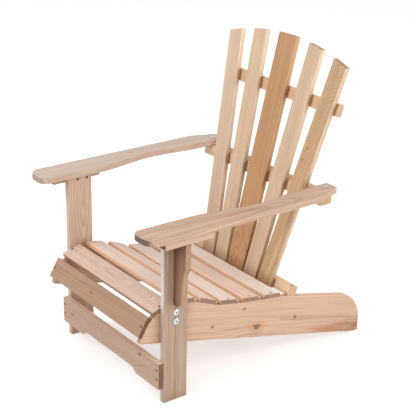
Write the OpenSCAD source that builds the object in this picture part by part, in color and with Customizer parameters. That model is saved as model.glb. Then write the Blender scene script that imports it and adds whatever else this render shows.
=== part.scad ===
// Wooden garden armchair with a fan back, bolted and screwed together from flat boards.
// Side view axes: Y runs rearwards from the nose of the stringers, Z runs up from the ground.
// +X is the left side of someone sitting in the chair.

/* [Boards] */
// Thickness of the planed boards
board_t = 19; // [16:0.5:24]
// Radius of the eased long edges of the slats
edge_r = 3.5; // [1:0.5:5]
// Outer width across the two stringers, which is the length of a seat slat
seat_w = 520; // [440:5:620]

/* [Stringers] */
// Height of the lower front corner of a stringer
front_h = 216; // [200:1:235]
// Length on the ground from the nose to the rear end
stringer_run = 895; // [840:5:980]
// Height of the blunt nose below the front apron slat
nose_h = 17; // [10:1:25]
// Radius of the curve over each front corner, under the two front slats
front_curve_r = 90; // [40:1:92]
// Radius of the rounded upper rear corner
rear_r = 115; // [60:5:160]
// Length of the flat foot at the lower rear corner
foot_flat = 16; // [8:1:40]

/* [Seat] */
// Width of a seat slat
slat_w = 66; // [56:1:72]
// Thickness of a seat slat
slat_t = 15; // [12:0.5:20]
// Distance from one seat slat to the next
seat_spacing = 88; // [80:1:92]
// Length of the stringer flat that carries the second slat
front_flat = 84; // [78:1:95]
// Slope of the front apron slat
apron_tilt = 58.5; // [51:0.5:65]
// Slope of the second slat
lip_tilt = 18.5; // [13:0.5:25]
// Slope of the third slat, negative falls rearwards
tilt_3 = -12; // [-17:0.5:-8]
// Slope of the fourth slat
tilt_4 = -22.5; // [-25:0.5:-18]
// Slope of the fifth slat
tilt_5 = -11.5; // [-17:0.5:-8]
// Slope of the sixth slat
tilt_6 = -8.5; // [-13:0.5:-6]
// Slope of the seventh slat
tilt_7 = -8; // [-13:0.5:-6]

/* [Front legs] */
// Height of a front leg
leg_h = 562; // [500:1:600]
// Width of a front leg
leg_w = 86; // [70:1:100]
// Distance of the front edge of a leg behind the nose
leg_back = 72; // [60:1:90]
// Distance of the upper leg bolt below the highest point of the seat line
leg_bolt_drop = 19; // [17:1:40]
// Spacing of the two bolts in a leg
leg_bolt_gap = 30; // [24:1:34]
// Distance of the cleat screws below the top of the leg
leg_screw_drop = 9.5; // [7:0.5:12]
// Distance of the first of them from the front edge of the leg
leg_screw_in = 35; // [24:1:40]
// Spacing of the two cleat screws across the leg
leg_screw_gap = 34; // [22:1:36]

/* [Stretcher] */
// Height of the front stretcher
stretcher_h = 88; // [70:1:100]
// Height of its lower edge above the ground
stretcher_low = 52; // [35:1:70]
// Rise of the cut-out in its lower edge
arch_rise = 16; // [8:1:22]
// Length of the full-height foot at each end of the stretcher
arch_foot = 116; // [80:1:150]
// Length of the curve between foot and cut-out
arch_blend = 36; // [20:1:60]
// Height of the lower stretcher screws above its lower edge
stretcher_screw_low = 32; // [24:1:36]
// Spacing of the two screws at each end
stretcher_screw_gap = 32; // [20:1:34]

/* [Arms] */
// Width of the broad front of an arm
arm_front_w = 98; // [86:1:110]
// Width at the narrowest place
arm_waist_w = 66; // [60:1:78]
// Width at the rear end
arm_rear_w = 82; // [74:1:96]
// Overhang of the arm in front of the middle of the leg
arm_reach = 141; // [115:1:170]
// Length of the broad front
arm_front_l = 200; // [150:5:220]
// Distance of the narrowest place ahead of the rear bolt
arm_waist_l = 255; // [230:5:280]
// Distance of the broad rear part ahead of the rear bolt
arm_rear_l = 90; // [60:5:120]
// Length of arm behind the rear bolt
arm_tail = 30; // [20:1:40]
// Distance of the rear bolt from the outer edge
arm_bolt_in = 58; // [50:1:62]
// Overhang of the arm past the cleat under it
arm_lip = 3; // [3:0.5:14]
// Radius of the outer front corner
arm_r_out = 42; // [30:1:50]
// Radius of the inner front corner
arm_r_in = 28; // [15:1:34]
// Length along the arm of the cut across its outer rear corner
arm_cut_l = 86; // [50:1:100]
// Width of that cut
arm_cut_w = 34; // [20:1:36]

/* [Cleats and brackets] */
// Width of the cleat screwed under the front of an arm
cleat_w = 67; // [54:1:70]
// Length of the cleat
cleat_l = 172; // [120:1:180]
// Width of the bracket at its top
bracket_w = 60; // [50:1:62]
// Width below the S-curve
bracket_neck = 46; // [40:1:50]
// Width near the lower end
bracket_tip = 37; // [30:1:40]
// Length of its straight upper part
bracket_top_l = 78; // [50:1:90]
// Length of its S-curve
bracket_curve_l = 38; // [25:1:60]
// Height of its lower end above the head of the upper leg bolt
bracket_clear = 17; // [8:1:30]
// Radius of its lower outer corner
bracket_r = 24; // [10:1:30]
// Distance of the bracket screws from the edges of the bracket
bracket_screw_in = 16; // [12:1:20]
// Distance of the cleat screws from the ends of the cleat
cleat_screw_in = 18; // [12:1:30]

/* [Back] */
// Lean of the back from upright, and slope of the stringer edge that it stands on
recline = 14; // [11:0.5:17]
// Gap between the end of the seat and the foot of the back
back_gap = 5; // [1:0.5:12]
// Width of the four outer back slats
back_w = 63; // [58:1:66]
// Width of the middle back slat
back_mid_w = 86; // [70:1:96]
// Gap between the middle slat and the next at the foot
foot_gap_in = 3; // [2:0.5:8]
// Gap between the two slats of a side at the foot
foot_gap_out = 7.5; // [6:0.5:12]
// Fan angle of the two inner side slats
fan_in = 4.2; // [3:0.1:5]
// Fan angle of the two outer slats
fan_out = 8.1; // [7:0.1:9]
// Height of the arched top along the back
back_l = 815; // [760:1:860]
// Radius of the arch over the slat tops
arch_r = 930; // [700:5:1100]
// Length of the slats below the bottom rail
slat_drop = 12; // [6:1:18]

/* [Rails] */
// Height of the bottom rail
low_rail_h = 32; // [26:1:40]
// Depth of the bottom rail
low_rail_d = 34; // [28:1:40]
// Height of the middle rail
mid_rail_h = 36; // [30:1:50]
// Depth of the middle rail at its top
mid_rail_d = 38; // [30:1:46]
// Length of middle rail past the arm bolt
mid_rail_end = 14; // [12:1:22]
// Height of the top rail
top_rail_h = 40; // [34:1:50]
// Distance of the top rail up the back
top_rail_s = 614; // [560:1:660]
// Overhang of the top rail past the outer slats
top_rail_end = 13; // [8:1:30]

/* [Fasteners] */
// Thread diameter of the furniture bolts
bolt_d = 8; // [6:0.5:8]
// Head diameter of the furniture bolts
bolt_head_d = 20; // [17:0.5:22]
// Head thickness of the furniture bolts
bolt_head_t = 2.6; // [2:0.1:4]
// Hexagon socket across flats
bolt_key = 5; // [4:0.5:5]
// Flange diameter of a tee nut
nut_d = 22; // [19:0.5:24]
// Flange thickness of a tee nut
nut_t = 1.6; // [1.2:0.1:2]
// Barrel length of a tee nut
nut_barrel = 9; // [7:0.5:11]
// Bolt end past the wood
bolt_past = 2; // [0:0.5:6]
// Diameter of the two long rail screws
long_screw_d = 6; // [5:0.5:7]
// Length of the two long rail screws
long_screw_l = 100; // [80:5:110]
// Diameter of the leg and stretcher screws
leg_screw_d = 4.5; // [4:0.25:5.5]
// Length of the leg and stretcher screws
leg_screw_l = 60; // [50:1:66]
// Diameter of the slat, cleat and bracket screws
slat_screw_d = 4; // [3.5:0.25:4.5]
// Length of the seat slat screws
slat_screw_l = 40; // [32:1:45]
// Length of the bracket screws
bracket_screw_l = 55; // [40:1:60]

/* [Hidden] */
$fn = 32;
fit = 0.12;             // clearance around a fastener, on the radius
head_ratio = 1.95;      // screw head diameter over thread diameter
head_sink = 0.4;        // screw heads lie this far below the wood
bite = 13;              // length of screw thread in the last board
wall_t = 1.2;           // barrel wall of a tee nut
prong_l = 6;            // length of the prongs of a tee nut
prong_w = 2.2;
prong_t = 1.2;
flat_margin = 1;        // apron flat past each edge of its slat
lip_edge = 9;           // second slat starts this far along its flat
screw_edge = board_t / 2;
blend_steps = 16;       // straight pieces in an S-curve
spare = 50;             // stock above the arched tops, cut away
past = 1;               // cuts reach this far past a face
meet = 0.02;            // arcs stand out this far, so that they cross the lines they round off

// ---- points of the stringer outline, side view ----
function step(p, a, l) = p + l * [cos(a), sin(a)];
// Points of an S-curve from [x1, y1] to [x2, y2] that starts and ends along y
function s_curve(a, b) = [for (i = [0:blend_steps])
    [a.x + (b.x - a.x) * (1 - cos(180 * i / blend_steps)) / 2, a.y + (b.y - a.y) * i / blend_steps]];
function swap(points) = [for (p = points) [p.y, p.x]];

tilts = [apron_tilt, lip_tilt, tilt_3, tilt_4, tilt_5, tilt_6, tilt_7];
flats = [slat_w + 2 * flat_margin, front_flat,
         seat_spacing, seat_spacing, seat_spacing, seat_spacing, seat_spacing];
nose_dir = 90 - atan2(front_h, stringer_run);   // the nose is square to the lower edge
nose_r = min(front_curve_r, nose_h / tan((nose_dir - apron_tilt) / 2));
// Radius over the start of flat i; the flat stays flat under the screw of the apron slat
function curve_r(i) = min(front_curve_r,
    (flats[0] / 2 - slat_screw_d) / tan((tilts[i - 1] - tilts[i]) / 2));
// Start point of flat i; the seat ends at seat_pt(7)
function seat_pt(i) = i == 0 ? step([0, front_h], nose_dir, nose_h)
    : step(seat_pt(i - 1), tilts[i - 1], flats[i - 1]);
// Distance from the start of flat i to the front edge of its slat
function slat_start(i) = i == 1 ? lip_edge : (flats[i] - slat_w) / 2;

seat_end = seat_pt(7);
rear_corner = [stringer_run, seat_end.y - (stringer_run - seat_end.x) * tan(recline)];

// ---- places of the other pieces ----
leg_bolt_top = seat_pt(2).y - leg_bolt_drop;        // height of the upper leg bolt
bracket_h = leg_h - board_t - leg_bolt_top - bolt_head_d / 2 - bracket_clear;
half_w = seat_w / 2;
leg_out = half_w + board_t;             // outer face of a leg
leg_mid = leg_back + leg_w / 2;
arm_out = leg_out + cleat_w + arm_lip;  // outer edge of an arm
arm_bolt_x = arm_out - arm_bolt_in;
mid_rail_x = arm_bolt_x + mid_rail_end;

back_foot = step(seat_end, -recline, back_gap);     // slat faces meet the stringer edge here
back_o = back_foot - slat_drop * [sin(recline), cos(recline)];
// Rear face of the back slats at height z
function back_face(z) = back_o.x + (z - back_o.y) * tan(recline) + board_t / cos(recline);

mid_front = back_face(leg_h);
arm_bolt_y = mid_front + mid_rail_d / 2;
arm_tip = leg_mid - arm_reach;
arm_len = arm_bolt_y + arm_tail - arm_tip;
arch_c = back_l - arch_r;

// Foot of back slat i (1 to 5), its fan angle and its width
slat_side = [0, -2, -1, 0, 1, 2];
foot_in = back_mid_w / 2 + foot_gap_in + back_w / 2;
feet = [0, foot_in, foot_in + back_w + foot_gap_out];
fans = [0, fan_in, fan_out];
function foot_x(i) = sign(slat_side[i]) * feet[abs(slat_side[i])];
function fan(i) = sign(slat_side[i]) * fans[abs(slat_side[i])];
function slat_width(i) = i == 3 ? back_mid_w : back_w;
// Centre of slat i at distance s up the back
function slat_x(i, s) = foot_x(i) + s * tan(fan(i));

low_rail_s = slat_drop + low_rail_h / 2;
mid_rail_s = (leg_h - mid_rail_h / 2 - back_o.y + board_t * sin(recline)) / cos(recline);
top_rail_mid = top_rail_s + top_rail_h / 2;
top_rail_x = slat_x(5, top_rail_mid) + back_w / 2 / cos(fan_out) + top_rail_end;

rail_s = [top_rail_mid, mid_rail_s, low_rail_s];
rail_d = [board_t, mid_rail_d + mid_rail_h / 2 * tan(recline), low_rail_d];
rail_screw_y = board_t + low_rail_d / 2;    // depth of the long screws behind the slat faces

// Lengths of the fasteners; screw lengths stop where the point begins
leg_bolt_l = 2 * board_t + bolt_past;
arm_stack = board_t + mid_rail_h;
arm_bolt_l = arm_stack + bolt_past;
cleat_screw_l = board_t + bite - slat_screw_d;
back_screws_l = [for (d = rail_d) d + bite - slat_screw_d];

// The chair stands centred on its own bounding box
front_most = min(arm_tip, seat_pt(0).x - slat_t * sin(apron_tilt));
origin_y = -(front_most + stringer_run) / 2;

// ---- helpers ----
module placed() { translate([0, origin_y, 0]) children(); }
module on_back() { translate([0, back_o.x, back_o.y]) rotate([-recline, 0, 0]) children(); }
// A flat outline in the side view becomes a board from x to x + t
module side_board(x, t) { translate([x, 0, 0]) rotate([90, 0, 90]) linear_extrude(t) children(); }
// A flat outline in the front view becomes a board from y to y + t
module front_board(y, t) { translate([0, y + t, 0]) rotate([90, 0, 0]) linear_extrude(t) children(); }
module both_sides() { children(); mirror([1, 0, 0]) children(); }
// Section with eased corners, centred on x and standing on y = 0
module eased(w, t, r) {
    translate([-w / 2 + r, 0]) square([w - 2 * r, t]);
    translate([-w / 2, r]) square([w, t - 2 * r]);
    for (x = [-1, 1]) for (y = [r, t - r]) translate([x * (w / 2 - r), y]) circle(r);
}
// What is cut off the corner at the origin, between +x and +y, to leave radius r
module round_off(r) {
    difference() {
        translate([-past, -past]) square(r + past);
        translate([r, r]) circle(r);
    }
}
// Clearance hole along z from a to b
module bore(d, a, b) { translate([0, 0, a - past]) cylinder(d = d + 2 * fit, h = b - a + 2 * past); }

// Countersunk screw: head at the origin, pointing down -z
module screw(d, l) {
    head = d * head_ratio;
    cone = (head - d) / 2;
    difference() {
        union() {
            translate([0, 0, -head_sink - cone]) cylinder(d1 = d, d2 = head, h = cone);
            translate([0, 0, -l]) cylinder(d = d, h = l - head_sink - cone);
            translate([0, 0, -l - d]) cylinder(d1 = d / 5, d2 = d, h = d);
        }
        for (a = [0, 90]) rotate(a) translate([-d / 2, -d / 8, -head_sink - d / 2]) cube([d, d / 4, d]);
    }
}
// Hole that a screw of the same size sits in
module screw_hole(d, l) {
    head = d * head_ratio + 2 * fit;
    cone = (head - d) / 2;
    bore(d, -l - d - past, 0);
    translate([0, 0, -head_sink - cone]) cylinder(d1 = d, d2 = head, h = cone);
    translate([0, 0, -head_sink]) cylinder(d = head, h = head_sink + past);
}
// Furniture bolt: head rests on z = 0, shank points down -z
module bolt(l) {
    rim = bolt_head_t * 0.6;
    difference() {
        union() {
            cylinder(d = bolt_head_d, h = rim);
            translate([0, 0, rim])
                cylinder(d1 = bolt_head_d, d2 = bolt_head_d * 0.82, h = bolt_head_t - rim);
            translate([0, 0, -l]) cylinder(d = bolt_d, h = l);
        }
        translate([0, 0, -bolt_head_t]) cylinder(d = bolt_key / cos(30), h = 3 * bolt_head_t, $fn = 6);
    }
}
barrel_d = bolt_d + 2 * fit + 2 * wall_t;
prong_x = nut_d / 2 - 2 * prong_t;
// Pronged tee nut: flange under z = 0, barrel and prongs point up
module tee_nut() {
    difference() {
        union() {
            translate([0, 0, -nut_t]) cylinder(d = nut_d, h = nut_t);
            cylinder(d = barrel_d, h = nut_barrel);
            prongs(0);
        }
        bore(bolt_d, -nut_t, nut_barrel);
    }
}
module prongs(gap) {
    for (a = [45:90:315]) rotate(a) translate([prong_x - gap, -prong_w / 2 - gap, -gap])
        cube([prong_t + 2 * gap, prong_w + 2 * gap, prong_l + 2 * gap]);
}
// Recess in the wood for a tee nut
module tee_nut_hole() {
    bore(barrel_d, 0, nut_barrel);
    prongs(fit);
}

// ---- fastener places, used for the fasteners and for their holes ----
module at_leg_bolts() {
    for (z = [0, 1]) translate([leg_out, leg_mid, leg_bolt_top - z * leg_bolt_gap])
        rotate([0, 90, 0]) children();
}
module at_leg_nuts() { translate([-2 * board_t, 0, 0]) at_leg_bolts() children(); }
module at_arm_bolts() { translate([arm_bolt_x, arm_bolt_y, leg_h + board_t]) children(); }
module at_arm_nuts() { translate([0, 0, -arm_stack]) at_arm_bolts() children(); }
module at_rail_screws() {
    on_back() translate([half_w - screw_edge, rail_screw_y, slat_drop + low_rail_h]) children();
}
module at_stretcher_screws() {
    for (z = [0, 1]) translate([leg_out - screw_edge, leg_back - board_t,
        stretcher_low + stretcher_screw_low + z * stretcher_screw_gap]) rotate([90, 0, 0]) children();
}
module at_leg_top_screws() {
    for (y = [0, 1]) translate([half_w, leg_back + leg_screw_in + y * leg_screw_gap,
        leg_h - leg_screw_drop]) rotate([0, -90, 0]) children();
}
module at_seat_screws(i) {
    p = step(seat_pt(i), tilts[i], slat_start(i) + slat_w / 2);
    translate([half_w - screw_edge, p.x, p.y]) rotate([tilts[i], 0, 0]) translate([0, 0, slat_t])
        children();
}
// Screws from behind through rail k (0 top, 1 middle, 2 bottom) into back slat i.
// The middle rail stands upright, so its screws lie level.
module at_back_screws(k, i) {
    if (k == 1) translate([slat_x(i, mid_rail_s), mid_front + mid_rail_d, leg_h - mid_rail_h / 2])
        rotate([-90, 0, 0]) children();
    else on_back() translate([slat_x(i, rail_s[k]), board_t + rail_d[k], rail_s[k]])
        rotate([-90, 0, 0]) children();
}
module at_cleat_screws() {
    for (y = [-1, 1]) translate([leg_out + cleat_w / 2, leg_mid + y * (cleat_l / 2 - cleat_screw_in),
        leg_h - board_t]) rotate([180, 0, 0]) children();
}
module at_bracket_screws() {
    for (x = [bracket_screw_in, bracket_w - bracket_screw_in]) translate([leg_out + x, leg_mid, leg_h])
        children();
}

// ---- wooden parts ----
// What is cut off the corner p, where an outline turns from direction a to direction b, to leave radius r
module corner_cut(p, a, b, r) {
    run = r * tan((a - b) / 2);     // from the corner to where the rounding starts
    c = step(step(step(p, a, -run), a - 90, r), (a + b) / 2 + 90, meet);
    difference() {
        polygon([c, step(c, a + 90, r + past), step(p, (a + b) / 2 + 90, 2 * past),
            step(c, b + 90, r + past)]);
        translate(c) circle(r, $fn = 96);
    }
}
// Side view of a stringer: one smooth curve under the front slats and a rounded rear corner
module stringer_outline() {
    difference() {
        polygon(concat([[0, front_h]], [for (i = [0:7]) seat_pt(i)],
            [rear_corner, [stringer_run, 0], [stringer_run - foot_flat, 0]]));
        corner_cut(seat_pt(0), nose_dir, apron_tilt, nose_r);
        for (i = [1:2]) corner_cut(seat_pt(i), tilts[i - 1], tilts[i], curve_r(i));
        corner_cut(rear_corner, -recline, -90, rear_r);
    }
}
module stringer(side) {
    difference() {
        side_board(side > 0 ? half_w - board_t : -half_w, board_t) stringer_outline();
        both_sides() {
            at_leg_bolts() bore(bolt_d, -leg_bolt_l, 0);
            at_leg_nuts() tee_nut_hole();
            at_rail_screws() screw_hole(long_screw_d, long_screw_l);
            for (i = [0:6]) at_seat_screws(i) screw_hole(slat_screw_d, slat_screw_l);
        }
    }
}
module seat_slat(i) {
    p = step(seat_pt(i), tilts[i], slat_start(i) + slat_w / 2);
    difference() {
        side_board(-half_w, seat_w) translate(p) rotate(tilts[i]) eased(slat_w, slat_t, edge_r);
        both_sides() at_seat_screws(i) screw_hole(slat_screw_d, slat_screw_l);
    }
}
module front_leg(side) {
    difference() {
        translate([side > 0 ? half_w : -leg_out, leg_back, 0]) cube([board_t, leg_w, leg_h]);
        both_sides() {
            at_leg_bolts() bore(bolt_d, -leg_bolt_l, 0);
            at_leg_top_screws() screw_hole(leg_screw_d, leg_screw_l);
            at_stretcher_screws() screw_hole(leg_screw_d, leg_screw_l);
        }
    }
}
module front_stretcher() {
    foot_x = leg_out - arch_foot;
    low = stretcher_low;
    difference() {
        front_board(leg_back - board_t, board_t) difference() {
            translate([-leg_out, low]) square([2 * leg_out, stretcher_h]);
            polygon(concat([[foot_x, low - past], [-foot_x, low - past]],
                swap(s_curve([low, -foot_x], [low + arch_rise, arch_blend - foot_x])),
                swap(s_curve([low + arch_rise, foot_x - arch_blend], [low, foot_x]))));
        }
        both_sides() at_stretcher_screws() screw_hole(leg_screw_d, leg_screw_l);
    }
}
// Arm outline: x inwards from the outer edge, y rearwards from the tip
module arm_outline() {
    waist = arm_len - arm_tail - arm_waist_l;
    broad = arm_len - arm_tail - arm_rear_l;
    difference() {
        polygon(concat([[0, 0], [arm_front_w, 0]],
            s_curve([arm_front_w, arm_front_l], [arm_waist_w, waist]),
            s_curve([arm_waist_w, waist], [arm_rear_w, broad]),
            [[arm_rear_w, arm_len], [arm_cut_w, arm_len], [0, arm_len - arm_cut_l]]));
        round_off(arm_r_out);
        translate([arm_front_w, 0]) mirror([1, 0]) round_off(arm_r_in);
    }
}
module arm(side) {
    difference() {
        mirror([side > 0 ? 0 : 1, 0, 0]) translate([arm_out, arm_tip, leg_h]) mirror([1, 0, 0])
            linear_extrude(board_t) arm_outline();
        both_sides() {
            at_arm_bolts() bore(bolt_d, -board_t, 0);
            at_cleat_screws() screw_hole(slat_screw_d, cleat_screw_l);
        }
    }
}
module arm_cleat(side) {
    difference() {
        translate([side > 0 ? leg_out : -leg_out - cleat_w, leg_mid - cleat_l / 2, leg_h - board_t])
            cube([cleat_w, cleat_l, board_t]);
        both_sides() {
            at_cleat_screws() screw_hole(slat_screw_d, cleat_screw_l);
            at_bracket_screws() screw_hole(slat_screw_d, bracket_screw_l);
            at_leg_top_screws() screw_hole(leg_screw_d, leg_screw_l);
        }
    }
}
// Bracket outline: x outwards from the leg, y down from the top
module bracket_outline() {
    curve_end = bracket_top_l + bracket_curve_l;
    difference() {
        polygon(concat([[0, 0], [bracket_w, 0]],
            s_curve([bracket_w, bracket_top_l], [bracket_neck, curve_end]),
            [[bracket_tip, bracket_h], [0, bracket_h]]));
        translate([bracket_tip, bracket_h]) rotate(180) round_off(bracket_r);
    }
}
module arm_bracket(side) {
    difference() {
        mirror([side > 0 ? 0 : 1, 0, 0]) translate([0, 0, leg_h - board_t]) mirror([0, 0, 1])
            front_board(leg_mid - board_t / 2, board_t) translate([leg_out, 0]) bracket_outline();
        both_sides() at_bracket_screws() screw_hole(slat_screw_d, bracket_screw_l);
    }
}
module back_slat(i) {
    difference() {
        on_back() intersection() {
            translate([foot_x(i), 0, 0]) rotate([0, fan(i), 0]) linear_extrude(back_l + spare)
                eased(slat_width(i), board_t, edge_r);
            translate([0, -past, arch_c]) rotate([-90, 0, 0])
                cylinder(r = arch_r, h = board_t + 2 * past, $fn = 180);
        }
        for (k = [0:2]) at_back_screws(k, i) screw_hole(slat_screw_d, back_screws_l[k]);
    }
}
module back_rail(k) {
    difference() {
        if (k == 0) on_back() translate([-top_rail_x, board_t, top_rail_s])
            cube([2 * top_rail_x, rail_d[k], top_rail_h]);
        else if (k == 1) middle_rail_blank();
        else on_back() translate([-half_w, board_t, slat_drop]) cube([seat_w, rail_d[k], low_rail_h]);
        for (i = [1:5]) at_back_screws(k, i) screw_hole(slat_screw_d, back_screws_l[k]);
        both_sides() {
            if (k == 1) at_arm_nuts() {
                tee_nut_hole();
                bore(bolt_d, 0, mid_rail_h);
            }
            if (k == 2) at_rail_screws() screw_hole(long_screw_d, long_screw_l);
        }
    }
}
// The middle rail is level on top and below, so that the arms lie flat on it
module middle_rail_blank() {
    low = leg_h - mid_rail_h;
    side_board(-mid_rail_x, 2 * mid_rail_x) polygon([[mid_front, leg_h], [mid_front + mid_rail_d, leg_h],
        [mid_front + mid_rail_d, low], [back_face(low), low]]);
}

// ---- nodes ----
wood_seat = [0.87, 0.77, 0.70];
wood_leg = [0.78, 0.67, 0.58];
wood_back = [0.83, 0.71, 0.58];
zinc = [0.75, 0.78, 0.80];
brass = [0.70, 0.60, 0.35];

module stringer_left() { color(wood_seat) placed() stringer(1); }
module stringer_right() { color(wood_seat) placed() stringer(-1); }
module seat_slat_1() { color(wood_seat) placed() seat_slat(0); }
module seat_slat_2() { color(wood_seat) placed() seat_slat(1); }
module seat_slat_3() { color(wood_seat) placed() seat_slat(2); }
module seat_slat_4() { color(wood_seat) placed() seat_slat(3); }
module seat_slat_5() { color(wood_seat) placed() seat_slat(4); }
module seat_slat_6() { color(wood_seat) placed() seat_slat(5); }
module seat_slat_7() { color(wood_seat) placed() seat_slat(6); }
module front_leg_left() { color(wood_leg) placed() front_leg(1); }
module front_leg_right() { color(wood_leg) placed() front_leg(-1); }
module stretcher_node() { color(wood_leg) placed() front_stretcher(); }
module arm_left() { color(wood_leg) placed() arm(1); }
module arm_right() { color(wood_leg) placed() arm(-1); }
module arm_cleat_left() { color(wood_leg) placed() arm_cleat(1); }
module arm_cleat_right() { color(wood_leg) placed() arm_cleat(-1); }
module arm_bracket_left() { color(wood_leg) placed() arm_bracket(1); }
module arm_bracket_right() { color(wood_leg) placed() arm_bracket(-1); }
module back_slat_1() { color(wood_back) placed() back_slat(1); }
module back_slat_2() { color(wood_back) placed() back_slat(2); }
module back_slat_3() { color(wood_back) placed() back_slat(3); }
module back_slat_4() { color(wood_back) placed() back_slat(4); }
module back_slat_5() { color(wood_back) placed() back_slat(5); }
module back_rail_top() { color(wood_back) placed() back_rail(0); }
module back_rail_middle() { color(wood_back) placed() back_rail(1); }
module back_rail_bottom() { color(wood_back) placed() back_rail(2); }
module leg_bolts() { color(zinc) placed() both_sides() at_leg_bolts() bolt(leg_bolt_l); }
module leg_tee_nuts() { color(zinc) placed() both_sides() at_leg_nuts() tee_nut(); }
module arm_bolts() { color(zinc) placed() both_sides() at_arm_bolts() bolt(arm_bolt_l); }
module arm_tee_nuts() { color(zinc) placed() both_sides() at_arm_nuts() tee_nut(); }
module rail_screws() {
    color(brass) placed() both_sides() at_rail_screws() screw(long_screw_d, long_screw_l);
}
module stretcher_screws() {
    color(brass) placed() both_sides() at_stretcher_screws() screw(leg_screw_d, leg_screw_l);
}
module leg_top_screws() {
    color(brass) placed() both_sides() at_leg_top_screws() screw(leg_screw_d, leg_screw_l);
}
module seat_screws() {
    color(brass) placed() both_sides() for (i = [0:6]) at_seat_screws(i) screw(slat_screw_d, slat_screw_l);
}
module back_screws() {
    color(brass) placed() for (k = [0:2]) for (i = [1:5])
        at_back_screws(k, i) screw(slat_screw_d, back_screws_l[k]);
}
module cleat_screws() {
    color(brass) placed() both_sides() at_cleat_screws() screw(slat_screw_d, cleat_screw_l);
}
module bracket_screws() {
    color(brass) placed() both_sides() at_bracket_screws() screw(slat_screw_d, bracket_screw_l);
}

stringer_left();
stringer_right();
seat_slat_1();
seat_slat_2();
seat_slat_3();
seat_slat_4();
seat_slat_5();
seat_slat_6();
seat_slat_7();
front_leg_left();
front_leg_right();
stretcher_node();  // front_stretcher
arm_left();
arm_right();
arm_cleat_left();
arm_cleat_right();
arm_bracket_left();
arm_bracket_right();
back_slat_1();
back_slat_2();
back_slat_3();
back_slat_4();
back_slat_5();
back_rail_top();
back_rail_middle();
back_rail_bottom();
leg_bolts();
leg_tee_nuts();
arm_bolts();
arm_tee_nuts();
rail_screws();
stretcher_screws();
leg_top_screws();
seat_screws();
back_screws();
cleat_screws();
bracket_screws();
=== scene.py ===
import math
import random

import bmesh
import bpy
from mathutils import Matrix, Vector

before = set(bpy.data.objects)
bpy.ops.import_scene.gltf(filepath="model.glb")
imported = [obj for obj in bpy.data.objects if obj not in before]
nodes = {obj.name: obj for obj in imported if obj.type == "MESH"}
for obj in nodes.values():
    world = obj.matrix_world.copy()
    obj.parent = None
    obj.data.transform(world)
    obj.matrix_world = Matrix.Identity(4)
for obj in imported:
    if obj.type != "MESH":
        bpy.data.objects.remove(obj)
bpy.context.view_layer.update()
scene = bpy.context.scene
print("frame:", len(nodes), "nodes")


def tint(red, green, blue):  # screen values, 0 to 255, to the linear colour of a socket
    def linear(value):
        value /= 255
        return value / 12.92 if value <= 0.04045 else ((value + 0.055) / 1.055) ** 2.4
    return (linear(red), linear(green), linear(blue), 1.0)


# short calls for building node trees
def put(tree, kind, inputs=None, **settings):
    made = tree.nodes.new(kind)
    row, column = divmod(len(tree.nodes), 12)  # twelve nodes to a row of the editor
    made.location = (190 * column, -230 * row)
    for name, value in settings.items():
        setattr(made, name, value)
    for key, value in (inputs or {}).items():
        if isinstance(value, bpy.types.NodeSocket):
            tree.links.new(value, made.inputs[key])
        else:
            made.inputs[key].default_value = value
    return made


def calc(tree, operation, *values):
    return put(tree, "ShaderNodeMath", dict(enumerate(values)), operation=operation).outputs[0]


def plus(tree, first, second):
    return calc(tree, "ADD", first, second)


def minus(tree, first, second):
    return calc(tree, "SUBTRACT", first, second)


def times(tree, first, second):
    return calc(tree, "MULTIPLY", first, second)


def centred(tree, value, amount):  # a 0 to 1 value as a swing of plus or minus half the amount
    return times(tree, minus(tree, value, 0.5), amount)


def bell(tree, value, steepness):  # 1 where the value is 0, falling off smoothly from there
    return calc(tree, "EXPONENT", times(tree, times(tree, value, value), -steepness))


def ease(tree, value, low, high, start=0.0, end=1.0):
    span = {"Value": value, "From Min": low, "From Max": high, "To Min": start, "To Max": end}
    return put(tree, "ShaderNodeMapRange", span, interpolation_type="SMOOTHSTEP").outputs["Result"]


def calcVector(tree, operation, *values):
    made = put(tree, "ShaderNodeVectorMath", dict(enumerate(values)), operation=operation)
    return made.outputs["Value"] if operation in ("LENGTH", "DOT_PRODUCT") else made.outputs[0]


def scaled(tree, vector, factor):
    made = put(tree, "ShaderNodeVectorMath", {0: vector, "Scale": factor}, operation="SCALE")
    return made.outputs[0]


def vectorOf(tree, *parts):
    return put(tree, "ShaderNodeCombineXYZ", dict(enumerate(parts))).outputs[0]


def alongGrain(tree, vector):  # the first part of a place on a board
    return put(tree, "ShaderNodeSeparateXYZ", {0: vector}).outputs[0]


def noise(tree, vector, scale, detail, rough=0.5, output="Fac"):
    look = {"Vector": vector, "Scale": scale, "Detail": detail, "Roughness": rough}
    return put(tree, "ShaderNodeTexNoise", look).outputs[output]


def jitter(tree, vector, scale, detail):  # noise as a vector, half a unit either way
    colour = noise(tree, vector, scale, detail, output="Color")
    return calcVector(tree, "SUBTRACT", colour, (0.5, 0.5, 0.5))


def blend(tree, factor, first, second, mode="MIX"):
    colours = {0: factor, 6: first, 7: second}
    return put(tree, "ShaderNodeMix", colours, data_type="RGBA", blend_type=mode).outputs[2]


def over(tree, mask, share, below, above):  # lays a colour over another where the mask is
    return blend(tree, times(tree, mask, share), below, above)


def newGroup(name, inputs, outputs):
    tree = bpy.data.node_groups.new(name, "ShaderNodeTree")
    for label, default in inputs.items():
        kind = "NodeSocketFloat"
        if isinstance(default, tuple):
            kind = "NodeSocketColor" if len(default) == 4 else "NodeSocketVector"
        socket = tree.interface.new_socket(label, in_out="INPUT", socket_type=kind)
        socket.default_value = default
    for label, kind in outputs.items():
        tree.interface.new_socket(label, in_out="OUTPUT", socket_type="NodeSocket" + kind)
    return tree, tree.nodes.new("NodeGroupInput").outputs, tree.nodes.new("NodeGroupOutput").inputs


def useGroup(tree, group, inputs):
    return put(tree, "ShaderNodeGroup", inputs, node_tree=group).outputs


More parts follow.
